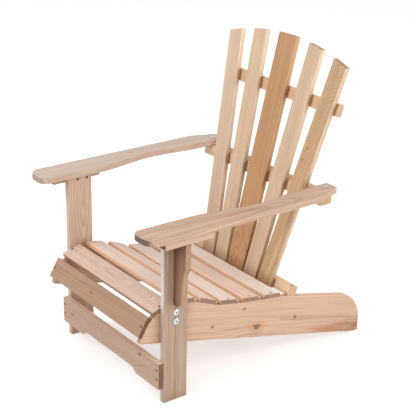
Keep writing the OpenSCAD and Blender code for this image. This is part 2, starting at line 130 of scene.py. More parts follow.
def newMaterial(name):
    made = bpy.data.materials.new(name)
    made.use_nodes = True
    made.node_tree.nodes.clear()
    return made, made.node_tree


# In the effects below, "changes" is how often a pattern changes in a metre: along the grain, across
# the board and out of its broad face, or the same in every direction.

# a log round a pith line: its rings show as stripes on a face and as arcs on an end
ringShape = {"seedStep": 3.7, "swayChanges": (1.7, 7.0, 7.0), "swayDetail": 1.5, "sway": 4.0,
             "rippleChanges": (9.0, 44.0, 44.0), "rippleDetail": 2.0, "ripple": 0.5,
             "yearChanges": 70.0, "yearSpread": 2.4,  # how uneven the widths of the years are
             "lateGrows": (0.3, 0.88), "lateStops": (1.0, 0.9), "palestYear": 0.4,
             "heartRagged": 0.006, "heartFade": (0.008, -0.008)}


def growthRings():
    tree, given, result = newGroup("growthRings", {
        "Vector": (0.0, 0.0, 0.0), "Pith": (0.0, 0.0, -0.06), "Lean": (0.0, 0.0, 0.0),
        "Bow": (0.0, 0.0, 0.0), "Tail": 1.0, "Knee": 10.0, "Ring Width": 0.005, "Wobble": 0.006,
        "Push": 0.0, "Seed": 0.0,
    }, {"Late": "Float", "Ring Tone": "Float", "Heart": "Float"})
    shape = ringShape
    shift = vectorOf(tree, times(tree, given["Seed"], shape["seedStep"]), given["Seed"])
    slow = calcVector(tree, "MULTIPLY", given["Vector"], shape["swayChanges"])
    fast = calcVector(tree, "MULTIPLY", given["Vector"], shape["rippleChanges"])
    sway = jitter(tree, calcVector(tree, "ADD", slow, shift), 1.0, shape["swayDetail"])
    ripple = jitter(tree, calcVector(tree, "ADD", fast, shift), 1.0, shape["rippleDetail"])

    # the bow counts in full above the pith's own place and by the tail's share below it
    run = minus(tree, alongGrain(tree, given["Vector"]), alongGrain(tree, given["Pith"]))
    above = calc(tree, "GREATER_THAN", run, 0.0)
    bowShare = calc(tree, "MULTIPLY_ADD", above, minus(tree, 1.0, given["Tail"]), given["Tail"])
    # past the knee the drift runs on straight
    pastKnee = plus(tree, calc(tree, "ABSOLUTE", run), given["Knee"])
    straight = calc(tree, "DIVIDE", given["Knee"], pastKnee)
    bend = times(tree, times(tree, run, run), times(tree, straight, bowShare))
    drifts = [(given["Lean"], run), (given["Bow"], bend),
              (sway, times(tree, given["Wobble"], shape["sway"])),
              (ripple, times(tree, given["Wobble"], shape["ripple"]))]
    place = calcVector(tree, "SUBTRACT", given["Vector"], given["Pith"])
    for direction, amount in drifts:
        place = calcVector(tree, "ADD", place, scaled(tree, direction, amount))
    place = calcVector(tree, "MULTIPLY", place, (0.0, 1.0, 1.0))
    radius = plus(tree, calcVector(tree, "LENGTH", place), given["Push"])

    yearPlace = plus(tree, given["Seed"], times(tree, radius, shape["yearChanges"]))
    yearNoise = put(tree, "ShaderNodeTexNoise", {"W": yearPlace, "Scale": 1.0, "Detail": 1.0},
                    noise_dimensions="1D").outputs["Fac"]
    years = plus(tree, calc(tree, "DIVIDE", radius, given["Ring Width"]),
                 centred(tree, yearNoise, shape["yearSpread"]))
    season = calc(tree, "FRACT", years)
    tone = put(tree, "ShaderNodeTexWhiteNoise", {"W": calc(tree, "FLOOR", years)},
               noise_dimensions="1D").outputs["Value"]
    late = times(tree, ease(tree, season, *shape["lateGrows"]), ease(tree, season, *shape["lateStops"]))
    late = times(tree, late, ease(tree, tone, 0.0, 1.0, shape["palestYear"], 1.0))
    heartEdge = minus(tree, radius, centred(tree, tone, shape["heartRagged"]))
    tree.links.new(late, result["Late"])
    tree.links.new(tone, result["Ring Tone"])
    tree.links.new(ease(tree, heartEdge, *shape["heartFade"]), result["Heart"])
    return tree


# fine lines along the board, broader soft streaks, the short dark dashes of resin ducts, and slow
# changes of tone and redness; range: where the noise starts to show and where it shows in full
fibreSeedStep = 5.3
fibreRough = 0.6
fibreLines = {
    "Fibre": {"changes": (9.0, 650.0, 650.0), "detail": 3.0},
    "Streak": {"changes": (2.2, 110.0, 110.0), "detail": 2.5, "range": (0.36, 0.66)},
    "Duct": {"changes": (70.0, 1500.0, 1500.0), "detail": 1.0, "range": (0.68, 0.78)},
    "Mottle": {"changes": (3.5, 22.0, 22.0), "detail": 2.0},
    "Blush": {"changes": (1.6, 9.0, 9.0), "detail": 1.0, "range": (0.35, 0.68)},
}


def woodFibre():
    tree, given, result = newGroup("woodFibre", {"Vector": (0.0, 0.0, 0.0), "Seed": 0.0},
                                   {name: "Float" for name in fibreLines})
    shift = vectorOf(tree, given["Seed"], times(tree, given["Seed"], fibreSeedStep))
    for name, line in fibreLines.items():
        stretched = calcVector(tree, "MULTIPLY", given["Vector"], line["changes"])
        shifted = calcVector(tree, "ADD", stretched, shift)
        value = noise(tree, shifted, 1.0, line["detail"], fibreRough)
        if "range" in line:
            value = ease(tree, value, *line["range"])
        tree.links.new(value, result[name])
    return tree


# a branch cut across: it pushes the rings aside and leaves a dark core in a reddish ring;
# core and halo: where they start and are full, in knot sizes from the middle
knotShape = {"through": 0.15, "raggedChanges": 90.0, "raggedDetail": 2.0, "ragged": 0.9,
             "push": 1.6, "pushSteepness": 0.12, "core": (1.05, 0.75), "halo": (3.2, 0.9)}


def branchKnot():
    tree, given, result = newGroup("branchKnot", {
        "Vector": (0.0, 0.0, 0.0), "Centre": (0.0, 0.0, 0.0), "Size": 0.008, "Length": 1.4,
    }, {"Push": "Float", "Core": "Float", "Halo": "Float"})
    shape = knotShape
    squeeze = vectorOf(tree, calc(tree, "DIVIDE", 1.0, given["Length"]), 1.0, shape["through"])
    offset = calcVector(tree, "SUBTRACT", given["Vector"], given["Centre"])
    offset = calcVector(tree, "MULTIPLY", offset, squeeze)
    own = calcVector(tree, "ADD", given["Vector"], given["Centre"])  # no two knots are ragged alike
    ragged = jitter(tree, own, shape["raggedChanges"], shape["raggedDetail"])
    ragged = scaled(tree, ragged, times(tree, given["Size"], shape["ragged"]))
    reach = calcVector(tree, "LENGTH", calcVector(tree, "ADD", offset, ragged))
    reach = calc(tree, "DIVIDE", reach, given["Size"])
    push = times(tree, given["Size"], shape["push"])
    push = times(tree, bell(tree, reach, shape["pushSteepness"]), push)
    tree.links.new(push, result["Push"])
    tree.links.new(ease(tree, reach, *shape["core"]), result["Core"])
    tree.links.new(ease(tree, reach, *shape["halo"]), result["Halo"])
    return tree


# rings that swell round a branch hidden beside the board
swirlShape = {"squeeze": (0.6, 1.0, 0.15), "steepness": 1.0}


def ringSwirl():
    tree, given, result = newGroup("ringSwirl", {
        "Vector": (0.0, 0.0, 0.0), "Centre": (0.0, 0.0, 0.0), "Spread": 0.04, "Swell": 0.01,
    }, {"Push": "Float"})
    offset = calcVector(tree, "SUBTRACT", given["Vector"], given["Centre"])
    offset = calcVector(tree, "MULTIPLY", offset, swirlShape["squeeze"])
    reach = calc(tree, "DIVIDE", calcVector(tree, "LENGTH", offset), given["Spread"])
    push = times(tree, bell(tree, reach, swirlShape["steepness"]), given["Swell"])
    tree.links.new(push, result["Push"])
    return tree


# a long patch of resin or heartwood with ragged, pointed ends
stainShape = {"raggedChanges": (7.0, 95.0, 95.0), "raggedDetail": 2.5, "ragged": 1.5,
              "edge": (1.05, 0.45)}


def resinStain():
    tree, given, result = newGroup("resinStain", {
        "Vector": (0.0, 0.0, 0.0), "Centre": (0.0, 0.0, 0.0), "Reach": (0.1, 0.01, 0.03),
    }, {"Stain": "Float"})
    offset = calcVector(tree, "SUBTRACT", given["Vector"], given["Centre"])
    offset = calcVector(tree, "DIVIDE", offset, given["Reach"])
    stretched = calcVector(tree, "MULTIPLY", given["Vector"], stainShape["raggedChanges"])
    ragged = noise(tree, stretched, 1.0, stainShape["raggedDetail"])
    reach = plus(tree, calcVector(tree, "LENGTH", offset), centred(tree, ragged, stainShape["ragged"]))
    tree.links.new(ease(tree, reach, *stainShape["edge"]), result["Stain"])
    return tree


# where two faces of a board meet, the rounded arris gets its own colour: lighter as sanding wear and as a
# painted highlight
arrisWearLightShape = {"radius": 0.0035, "samples": 6, "turn": (0.02, 0.2), "patchChanges": 45.0,
             "patchDetail": 3.0, "patchRange": (0.25, 0.6), "faintestArris": 0.35}


def wornLitArris():
    tree, given, result = newGroup("wornLitArris", {"Vector": (0.0, 0.0, 0.0)}, {"Edge": "Float"})
    shape = arrisWearLightShape
    rounded = put(tree, "ShaderNodeBevel", {"Radius": shape["radius"]}, samples=shape["samples"])
    flat = put(tree, "ShaderNodeNewGeometry").outputs["Normal"]
    turn = calcVector(tree, "DOT_PRODUCT", rounded.outputs["Normal"], flat)
    turn = ease(tree, minus(tree, 1.0, turn), *shape["turn"])
    patch = noise(tree, given["Vector"], shape["patchChanges"], shape["patchDetail"])
    patch = ease(tree, patch, *shape["patchRange"], shape["faintestArris"], 1.0)
    tree.links.new(times(tree, turn, patch), result["Edge"])
    return tree


# painted shade: close corners are darkened and browned by an ambient occlusion mask, standing in for the
# shade that falls there
cornerShadeShape = {"samples": 6, "patchChanges": 30.0, "patchDetail": 2.0, "patches": 0.15,
               "range": (0.95, 0.55)}


def paintedCornerShade():
    tree, given, result = newGroup("paintedCornerShade", {
        "Vector": (0.0, 0.0, 0.0), "Distance": 0.05}, {"Shelter": "Float"})
    shape = cornerShadeShape
    openness = put(tree, "ShaderNodeAmbientOcclusion", {"Distance": given["Distance"]},
                   samples=shape["samples"]).outputs["AO"]
    patch = noise(tree, given["Vector"], shape["patchChanges"], shape["patchDetail"])
    openness = plus(tree, openness, centred(tree, patch, shape["patches"]))
    tree.links.new(ease(tree, openness, *shape["range"]), result["Shelter"])
    return tree


# how much each effect counts in a board's colour, roughness and relief
timberColour = {"side": 0.85, "blush": 0.3, "blushTint": (1.03, 0.955, 0.92, 1.0), "stain": 0.75,
                "ringHeart": 0.6, "ringStain": 0.6, "ringFlame": 0.35,
                "ringTint": (0.93, 0.9, 0.88, 1.0), "stainGrain": 0.35, "haloGrain": 0.3,
                "flameGrain": 0.5, "halo": 0.4, "yearTone": 0.06, "mottle": 0.26, "fibre": 0.3,
                "duct": 0.18, "end": 0.88, "edge": 0.5, "shadeTint": (0.42, 0.28, 0.17, 1.0)}
timberRough = {"plain": 0.72, "late": 0.14, "end": 0.14, "fibre": 0.25, "core": 0.2, "edge": 0.08}
timberRelief = {"late": 0.35, "fibre": 0.6, "duct": 0.5, "core": 0.4}


# one board's whole finish out of the effects above
def timber(rings, fibre, arris, corner):
    tree, given, result = newGroup("timber", {
        "Vector": (0.0, 0.0, 0.0), "End": 0.0, "Side": 0.0, "Pith": (0.0, 0.0, -0.06),
        "Lean": (0.0, 0.0, 0.0), "Bow": (0.0, 0.0, 0.0), "Tail": 1.0, "Knee": 10.0,
        "Ring Width": 0.005, "Wobble": 0.006, "Seed": 0.0, "Shelter": 0.05, "Painted Shade": 0.6,
        "Push": 0.0, "Core": 0.0, "Halo": 0.0, "Stain": 0.0, "Flame": 0.0, "Grain": 0.5,
        "Streaks": 0.3, "Early Wood": tint(226, 198, 172), "Late Wood": tint(196, 150, 112),
        "Heartwood": tint(205, 145, 95), "Side Face Colour": tint(226, 186, 142),
        "Knot": tint(110, 66, 38), "Lit Edge": tint(240, 214, 186), "End Wood": tint(168, 128, 100),
    }, {"Color": "Color", "Roughness": "Float", "Height": "Float"})
    shared = ("Vector", "Pith", "Lean", "Bow", "Tail", "Knee", "Ring Width", "Wobble", "Push", "Seed")
    ring = useGroup(tree, rings, {key: given[key] for key in shared})
    fine = useGroup(tree, fibre, {"Vector": given["Vector"], "Seed": given["Seed"]})
    edge = useGroup(tree, arris, {"Vector": given["Vector"]})["Edge"]

    # the pale wood, and the darker wood of its rings
    mix = timberColour
    # the narrow side faces take their own colour, on several kinds paler than the face as painted light
    # where the sides catch the light
    wood = over(tree, given["Side"], mix["side"], given["Early Wood"], given["Side Face Colour"])
    blushed = blend(tree, 1.0, wood, mix["blushTint"], "MULTIPLY")
    wood = over(tree, fine["Blush"], mix["blush"], wood, blushed)
    wood = blend(tree, ring["Heart"], wood, given["Heartwood"])
    dark = over(tree, ring["Heart"], mix["ringHeart"], given["Late Wood"], given["Heartwood"])
    dark = over(tree, given["Stain"], mix["ringStain"], dark, given["Heartwood"])
    dark = over(tree, given["Flame"], mix["ringFlame"], dark, given["Knot"])
    dark = blend(tree, 1.0, dark, mix["ringTint"], "MULTIPLY")
    wood = over(tree, given["Stain"], mix["stain"], wood, given["Heartwood"])
    grain = given["Grain"]
    for mark in ("Stain", "Halo", "Flame"):
        grain = plus(tree, grain, times(tree, given[mark], mix[mark.lower() + "Grain"]))
    wood = over(tree, ring["Late"], grain, wood, dark)
    wood = over(tree, fine["Streak"], given["Streaks"], wood, given["Late Wood"])
    wood = over(tree, given["Halo"], mix["halo"], wood, given["Heartwood"])
    wood = blend(tree, given["Core"], wood, given["Knot"])

    # its tone from year to year and place to place, then ends, edges, and the painted shade of close
    # corners
    shade = plus(tree, centred(tree, ring["Ring Tone"], mix["yearTone"]),
                 centred(tree, fine["Mottle"], mix["mottle"]))
    shade = plus(tree, shade, centred(tree, fine["Fibre"], mix["fibre"]))
    shade = minus(tree, shade, times(tree, fine["Duct"], mix["duct"]))
    shade = plus(tree, shade, 1.0)
    wood = scaled(tree, wood, shade)
    ended = blend(tree, mix["end"], wood, scaled(tree, given["End Wood"], shade))
    wood = blend(tree, given["End"], wood, ended)
    # the arrises: sanding wear with a painted highlight, and on the back slats a darker line of painted
    # shade
    wood = over(tree, edge, mix["edge"], wood, given["Lit Edge"])
    # painted shade: the corner mask darkens and browns the wood where shade falls in close corners
    shelter = useGroup(tree, corner, {"Vector": given["Vector"], "Distance": given["Shelter"]})
    shaded = blend(tree, 1.0, wood, mix["shadeTint"], "MULTIPLY")
    wood = over(tree, shelter["Shelter"], given["Painted Shade"], wood, shaded)
    tree.links.new(wood, result["Color"])

    mix = timberRough
    rough = minus(tree, mix["plain"], times(tree, ring["Late"], mix["late"]))
    rough = plus(tree, rough, times(tree, given["End"], mix["end"]))
    rough = plus(tree, rough, centred(tree, fine["Fibre"], mix["fibre"]))
    rough = minus(tree, rough, times(tree, given["Core"], mix["core"]))
    rough = minus(tree, rough, times(tree, edge, mix["edge"]))
    tree.links.new(rough, result["Roughness"])

    mix = timberRelief
    height = plus(tree, times(tree, ring["Late"], mix["late"]), times(tree, fine["Fibre"], mix["fibre"]))
    height = minus(tree, height, times(tree, fine["Duct"], mix["duct"]))
    height = plus(tree, height, times(tree, given["Core"], mix["core"]))
    tree.links.new(height, result["Height"])
    return tree


knotGroup = branchKnot()
swirlGroup = ringSwirl()
stainGroup = resinStain()
timberGroup = timber(growthRings(), woodFibre(), wornLitArris(), paintedCornerShade())
print("wood effects ready")


# how a board lies: rows of the matrix run along the grain, across the board, out of its broad face
lie = {"outward": (1.0, -1.0, 1.1),  # the broad face is counted on this side
       "onward": (1.0, 1.1, 1.2),  # and the grain in this direction
       "square": 0.02,  # how far a long face may be off square to the grain
       "digits": 2}  # faces whose directions agree to this many digits are counted together


def boardFrame(board):
    mesh = bmesh.new()
    mesh.from_mesh(board.data)
    rims = [edge for edge in mesh.edges if len(edge.link_faces) == 1]
    longest = max(rims, key=lambda edge: edge.calc_length())
    along = (longest.verts[1].co - longest.verts[0].co).normalized()
    areas = {}
    for face in mesh.faces:
        if abs(face.normal.dot(along)) < lie["square"]:
            key = tuple(round(abs(c), lie["digits"]) for c in face.normal)
            total, normal = areas.get(key, (0.0, face.normal.copy()))
            areas[key] = (total + face.calc_area(), normal)
    out = max(areas.values(), key=lambda pair: pair[0])[1]
    if out.dot(Vector(lie["outward"])) < 0:
        out = -out
    if along.dot(Vector(lie["onward"])) < 0:
        along = -along
    out = (out - along * out.dot(along)).normalized()
    turn = Matrix((along, out.cross(along), out))
    spots = [turn @ vert.co for vert in mesh.verts]
    mesh.free()
    low = Vector([min(spot[i] for spot in spots) for i in range(3)])
    high = Vector([max(spot[i] for spot in spots) for i in range(3)])
    return turn, (low + high) / 2


# end and side: how squarely a face must look along or across the board to count as one
woodSurface = {"end": (0.55, 0.95), "side": (0.5, 0.95), "stainDepth": 0.03, "relief": 0.25,
               "reliefDepth": 0.0006, "refraction": 1.45}


def boardMaterial(name, look, turn, middle):
    made, tree = newMaterial(name)
    where = put(tree, "ShaderNodeTexCoord").outputs["Object"]
    local = put(tree, "ShaderNodeMapping", {"Vector": where, "Location": -middle,
                "Rotation": turn.to_euler("XYZ")}, vector_type="POINT").outputs[0]
    normal = put(tree, "ShaderNodeNewGeometry").outputs["Normal"]

    def facing(direction, span):
        turned = calcVector(tree, "DOT_PRODUCT", normal, direction)
        return ease(tree, calc(tree, "ABSOLUTE", turned), *span)

    def mark(group, along, across, **inputs):
        return useGroup(tree, group, {"Vector": local, "Centre": (along, across, 0.0), **inputs})

    def patches(spots):
        mask = 0.0
        for along, across, length, width in spots:
            patch = mark(stainGroup, along, across, Reach=(length, width, woodSurface["stainDepth"]))
            mask = calc(tree, "MAXIMUM", mask, patch["Stain"])
        return mask

    push, core, halo = 0.0, 0.0, 0.0
    for along, across, size, length, dark in look["knots"]:
        knot = mark(knotGroup, along, across, Size=size, Length=length)
        push = plus(tree, push, knot["Push"])
        core = calc(tree, "MAXIMUM", core, times(tree, knot["Core"], dark))
        halo = calc(tree, "MAXIMUM", halo, knot["Halo"])
    for along, across, spread, swell in look["swirls"]:
        push = plus(tree, push, mark(swirlGroup, along, across, Spread=spread, Swell=swell)["Push"])
    wood = useGroup(tree, timberGroup, {
        "Vector": local, "End": facing(turn[0], woodSurface["end"]),
        "Side": facing(turn[1], woodSurface["side"]), "Push": push, "Core": core, "Halo": halo,
        "Stain": patches(look["stains"]), "Flame": patches(look["flames"]),
        "Shelter": look["shelter"], "Painted Shade": look["paintedShade"], "Pith": look["pith"], "Lean": look["lean"],
        "Bow": look["bow"], "Tail": look["tail"], "Knee": look["knee"], "Ring Width": look["ringWidth"],
        "Wobble": look["wobble"], "Seed": look["seed"], "Grain": look["grain"],
        "Streaks": look["streaks"], "Early Wood": look["early"], "Late Wood": look["late"],
        "Heartwood": look["heartwood"], "Side Face Colour": look["side"], "Knot": look["knot"],
        "Lit Edge": look["litEdge"], "End Wood": look["end"]})
    relief = put(tree, "ShaderNodeBump", {"Height": wood["Height"], "Strength": woodSurface["relief"],
                 "Distance": woodSurface["reliefDepth"]})
    shader = put(tree, "ShaderNodeBsdfPrincipled", {
        "Base Color": wood["Color"], "Roughness": wood["Roughness"], "Normal": relief.outputs[0],
        "IOR": woodSurface["refraction"]})
    put(tree, "ShaderNodeOutputMaterial", {"Surface": shader.outputs[0]})
    return made


# what the boards of one kind share; lengths in metres, colours as they look in white light, except that
# side colours, edge colours and the corner darkening hold painted light and shade
kinds = {
    "seat_slat": {"early": tint(242, 219, 205), "late": tint(216, 184, 165),
                  "heartwood": tint(226, 180, 142), "side": tint(250, 202, 152),
                  "end": tint(160, 118, 92), "litEdge": tint(238, 190, 146),
                  "grain": 0.42, "streaks": 0.3, "paintedShade": 0.3},
    "stringer": {"early": tint(228, 193, 167), "late": tint(200, 154, 122),
                 "heartwood": tint(208, 146, 102), "side": tint(228, 196, 170),
                 "end": tint(196, 156, 126), "litEdge": tint(236, 208, 184),
                 "grain": 0.5, "streaks": 0.3, "shelter": 0.1, "paintedShade": 0.7},
    "front_leg": {"early": tint(200, 174, 152), "late": tint(160, 128, 104),
                  "heartwood": tint(184, 142, 108), "side": tint(238, 228, 221),
                  "end": tint(160, 126, 100), "litEdge": tint(206, 188, 172),
                  "grain": 0.6, "streaks": 0.3, "paintedShade": 0.25},
    "front_stretcher": {"early": tint(199, 170, 150), "late": tint(172, 138, 116),
                        "heartwood": tint(186, 142, 110), "side": tint(252, 224, 202),
                        "end": tint(122, 86, 70), "litEdge": tint(238, 212, 190),
                        "grain": 0.45, "streaks": 0.35, "paintedShade": 0.18},
    "arm": {"early": tint(208, 178, 156), "late": tint(172, 136, 112),
            "heartwood": tint(190, 144, 110), "side": tint(222, 190, 166),
            "end": tint(94, 78, 65), "litEdge": tint(226, 200, 178),
            "grain": 0.65, "streaks": 0.35, "paintedShade": 0.3},
    # painted shade: the bracket is given darker colours than its wood, a wide shelter and strong corner
    # darkening, standing in for the shade under the arm
    "arm_bracket": {"early": tint(174, 143, 120), "late": tint(142, 108, 84),
                    "heartwood": tint(160, 118, 84), "side": tint(206, 166, 132),
                    "end": tint(140, 108, 84), "litEdge": tint(196, 160, 130),
                    "grain": 0.5, "streaks": 0.35, "shelter": 0.17, "paintedShade": 0.95},
    "arm_cleat": {"early": tint(208, 178, 154), "late": tint(178, 144, 118),
                  "heartwood": tint(190, 146, 110), "side": tint(226, 192, 166),
                  "end": tint(120, 92, 72), "litEdge": tint(226, 198, 174),
                  "grain": 0.5, "streaks": 0.35, "paintedShade": 0.12},
    # painted light and shade: litEdge is a darker line along the arrises as painted shade, side is paler
    # as painted light where the sides catch light from behind, and the strong corner darkening paints the
    # shade beside the rails
    "back_slat": {"early": tint(217, 189, 160), "late": tint(196, 161, 126),
                  "heartwood": tint(212, 162, 116), "side": tint(254, 230, 204),
                  "end": tint(172, 136, 106), "litEdge": tint(214, 168, 122),
                  "grain": 0.4, "streaks": 0.3, "paintedShade": 0.95},
    "back_rail": {"early": tint(240, 204, 160), "late": tint(212, 170, 126),
                  "heartwood": tint(206, 154, 106), "side": tint(250, 222, 190),
                  "end": tint(214, 176, 140), "litEdge": tint(238, 210, 178),
                  "grain": 0.45, "streaks": 0.3, "shelter": 0.015, "paintedShade": 0.7},
}

# each board's own wood. pith: where the rings' centre line passes (along, across, out of the face);
# lean and bow: how it drifts from there; tail: how much of the bow is left below that place;
# knee: how far from there the bow straightens out.
# knots: along, across, size, length, darkness; swirls: along, across, spread, swell;
# stains and flames, where the rings show darker: along, across, length, width;
# shelter: how far from a neighbour the painted corner shade starts
boards = {
    "seat_slat_1": {"pith": (0, 0.1, -0.06), "ringWidth": 0.0062, "wobble": 0.008, "grain": 0.5,
                    "early": tint(184, 148, 121), "late": tint(154, 116, 90),
                    "heartwood": tint(160, 108, 72), "side": tint(206, 168, 138),
                    "end": tint(106, 74, 55), "litEdge": tint(206, 168, 138),
                    "stains": [(-0.026, 0.0, 0.012, 0.006)]},
    "seat_slat_2": {"pith": (0, 0.012, -0.03), "bow": (0, 0, 0.4), "tail": 0.9,
                    "ringWidth": 0.0036, "wobble": 0.0045,
                    "early": tint(226, 200, 183), "late": tint(196, 158, 134),
                    "side": tint(176, 138, 108), "end": tint(134, 98, 78)},
    "seat_slat_3": {"pith": (0, 0.12, -0.06), "ringWidth": 0.005,
                    "early": tint(243, 223, 209), "end": tint(146, 108, 82)},
    "seat_slat_4": {"pith": (0, -0.1, -0.05), "ringWidth": 0.0055, "end": tint(148, 110, 84)},
    "seat_slat_5": {"pith": (0, 0.08, -0.04), "ringWidth": 0.0045,
                    "early": tint(242, 228, 217), "end": tint(138, 100, 76)},
    "seat_slat_6": {"pith": (0, -0.02, -0.07), "ringWidth": 0.005,
                    "early": tint(235, 211, 196), "end": tint(156, 114, 88)},
    "seat_slat_7": {"pith": (0, 0.09, -0.08), "ringWidth": 0.0055,
                    "early": tint(245, 232, 222), "end": tint(156, 110, 84)},
    "stringer_left": {"pith": (0, -0.2, -0.03), "ringWidth": 0.0062, "wobble": 0.007,
                      "early": tint(231, 196, 170), "heartwood": tint(216, 148, 96),
                      "knot": tint(84, 50, 32),
                      "knots": [(-0.195, -0.025, 0.0036, 1.5, 1.0), (-0.08, 0.031, 0.0036, 1.2, 1.0),
                                (0.1485, -0.005, 0.0038, 1.2, 1.0),
                                (-0.012, -0.029, 0.0056, 3.8, 0.62),
                                (-0.01, -0.036, 0.0066, 2.0, 0.62)],
                      "swirls": [(-0.015, -0.032, 0.045, -0.023), (0.05, -0.062, 0.02, -0.012)],
                      "flames": [(-0.065, -0.058, 0.12, 0.036), (0.055, -0.06, 0.03, 0.012),
                                 (-0.28, -0.058, 0.2, 0.022), (0.2, -0.012, 0.3, 0.012)],
                      "stains": [(-0.36, -0.068, 0.18, 0.008), (0.3, -0.056, 0.1, 0.013),
                                 (0.38, -0.038, 0.06, 0.007), (0.45, -0.045, 0.03, 0.014)]},
    "stringer_right": {"pith": (0, -0.16, -0.04), "ringWidth": 0.007, "wobble": 0.01, "grain": 0.55,
                       "stains": [(0.22, 0.055, 0.2, 0.014), (0.05, 0.08, 0.12, 0.012)]},
    "front_leg_left": {"pith": (0, -0.13, -0.04), "ringWidth": 0.0075, "wobble": 0.0075,
                       "grain": 0.8, "end": tint(150, 122, 100),
                       "swirls": [(-0.048, 0.02, 0.026, 0.006)]},
    "front_leg_right": {"pith": (0.34, -0.012, -0.014), "bow": (0, 0, 0.11), "ringWidth": 0.0052,
                        "wobble": 0.004, "grain": 0.75,
                        "early": tint(229, 201, 180), "late": tint(199, 158, 131),
                        "heartwood": tint(214, 160, 120), "side": tint(224, 196, 176),
                        "stains": [(-0.02, -0.014, 0.12, 0.012)]},
    "front_stretcher": {"pith": (0, 0.11, -0.08), "ringWidth": 0.0075, "wobble": 0.006,
                        "knot": tint(72, 42, 28),
                        "knots": [(-0.225, 0.0, 0.003, 3.0, 1.0), (-0.225, 0.0005, 0.0009, 20.0, 0.7),
                                  (-0.04, 0.024, 0.002, 1.6, 0.7), (-0.04, -0.004, 0.0016, 2.6, 0.7),
                                  (0.179, 0.035, 0.0034, 2.6, 1.0),
                                  (0.165, 0.028, 0.0009, 22.0, 0.7)]},
    "arm_left": {"pith": (0.06, -0.012, -0.03), "lean": (0, 0.03, 0.02), "bow": (0, 0.1, 0.14),
                 "tail": 0.3, "ringWidth": 0.006, "wobble": 0.012, "grain": 0.52,
                 "stains": [(-0.02, -0.01, 0.16, 0.012)]},
    "arm_right": {"pith": (0, 0.14, -0.07), "ringWidth": 0.007, "wobble": 0.006, "grain": 0.4,
                  "early": tint(213, 195, 180), "late": tint(190, 167, 150),
                  "side": tint(232, 203, 182), "end": tint(176, 148, 124),
                  "knots": [(0.01, 0.018, 0.003, 1.5, 0.8)]},
    "back_slat_1": {"pith": (0, 0.11, -0.05), "ringWidth": 0.006, "grain": 0.34,
                    "early": tint(220, 193, 168), "litEdge": tint(212, 170, 128)},
    "back_slat_2": {"pith": (0, -0.12, -0.07), "ringWidth": 0.006, "grain": 0.3,
                    "early": tint(219, 191, 160)},
    "back_slat_3": {"pith": (-0.03, 0.06, -0.06), "bow": (0, 0.01, -0.0045), "tail": 70.0,
                    "ringWidth": 0.0046, "wobble": 0.0032, "grain": 0.62,
                    "early": tint(202, 157, 114), "late": tint(164, 112, 72),
                    "heartwood": tint(186, 130, 90), "side": tint(246, 204, 158),
                    "litEdge": tint(214, 160, 110)},
    "back_slat_4": {"pith": (0, 0.13, -0.08), "ringWidth": 0.0055, "grain": 0.32},
    "back_slat_5": {"pith": (0.19, -0.032, -0.012), "lean": (0, 0.05, 0), "bow": (0, 0, 20.0),
                    "tail": 0.0025, "knee": 0.03, "ringWidth": 0.0034, "wobble": 0.004,
                    "grain": 0.8, "early": tint(214, 179, 140), "late": tint(164, 122, 82),
                    "litEdge": tint(166, 124, 86), "knot": tint(176, 112, 66),
                    "knots": [(0.1, 0.01, 0.0044, 1.5, 0.9), (0.06, 0.014, 0.0048, 1.2, 0.9)]},
    "back_rail_top": {"early": tint(228, 193, 152), "late": tint(204, 162, 120)},
}


# a board that isn't told its pith, ring width or seed draws them by its name
def boardLook(name):
    dice = random.Random(name)
    kind = max((key for key in kinds if name.startswith(key)), key=len)
    look = {"pith": (0.0, dice.uniform(-0.12, 0.12), -dice.uniform(0.04, 0.09)),
            "ringWidth": dice.uniform(0.0045, 0.007), "seed": dice.uniform(0, 50),
            "lean": (0.0, 0.0, 0.0), "bow": (0.0, 0.0, 0.0), "tail": 1.0, "knee": 10.0,
            "wobble": 0.005, "knots": [], "swirls": [], "stains": [], "flames": [],
            "knot": tint(96, 58, 38), "shelter": 0.05}
    look.update(kinds[kind])
    look.update(boards.get(name, {}))
    return look


# crease: the least angle of an arris, in degrees; rimSize: a ring of sharp edges up to this size is
# the rim of a hole; joinGap: corners closer than this are one; digits: how finely they are told apart
easing = {"width": 0.0012, "segments": 3, "crease": 32, "rimSize": 0.03, "joinGap": 0.00001,
          "digits": 5}


def spotOf(vert):
    return tuple(round(c, easing["digits"]) for c in vert.co)


# marks the arrises to be rounded and keeps the rims of holes sharp
def markEdges(board):
    joined = bmesh.new()
    joined.from_mesh(board.data)
    bmesh.ops.remove_doubles(joined, verts=joined.verts, dist=easing["joinGap"])
    crease = math.radians(easing["crease"])
    sharp = {edge for edge in joined.edges
             if len(edge.link_faces) == 2 and edge.calc_face_angle() > crease}
    arrises, rims = set(), set()
    while sharp:
        chain, waiting = [], [sharp.pop()]
        while waiting:
            edge = waiting.pop()
            chain.append(edge)
            for vert in edge.verts:
                for other in vert.link_edges:
                    if other in sharp:
                        sharp.remove(other)
                        waiting.append(other)
        spots = [vert.co for edge in chain for vert in edge.verts]
        extent = max(max(co[i] for co in spots) - min(co[i] for co in spots) for i in range(3))
        group = arrises if extent > easing["rimSize"] else rims
        group.update(frozenset(spotOf(vert) for vert in edge.verts) for edge in chain)
    joined.free()
    mesh = board.data
    for label, kind in (("bevel_weight_edge", "FLOAT"), ("sharp_edge", "BOOLEAN")):
        if label not in mesh.attributes:
            mesh.attributes.new(label, kind, "EDGE")
    weights = mesh.attributes["bevel_weight_edge"].data
    keeps = mesh.attributes["sharp_edge"].data
    for edge in mesh.edges:
        key = frozenset(spotOf(mesh.vertices[i]) for i in edge.vertices)
        weights[edge.index].value = 1.0 if key in arrises else 0.0
        keeps[edge.index].value = key in rims


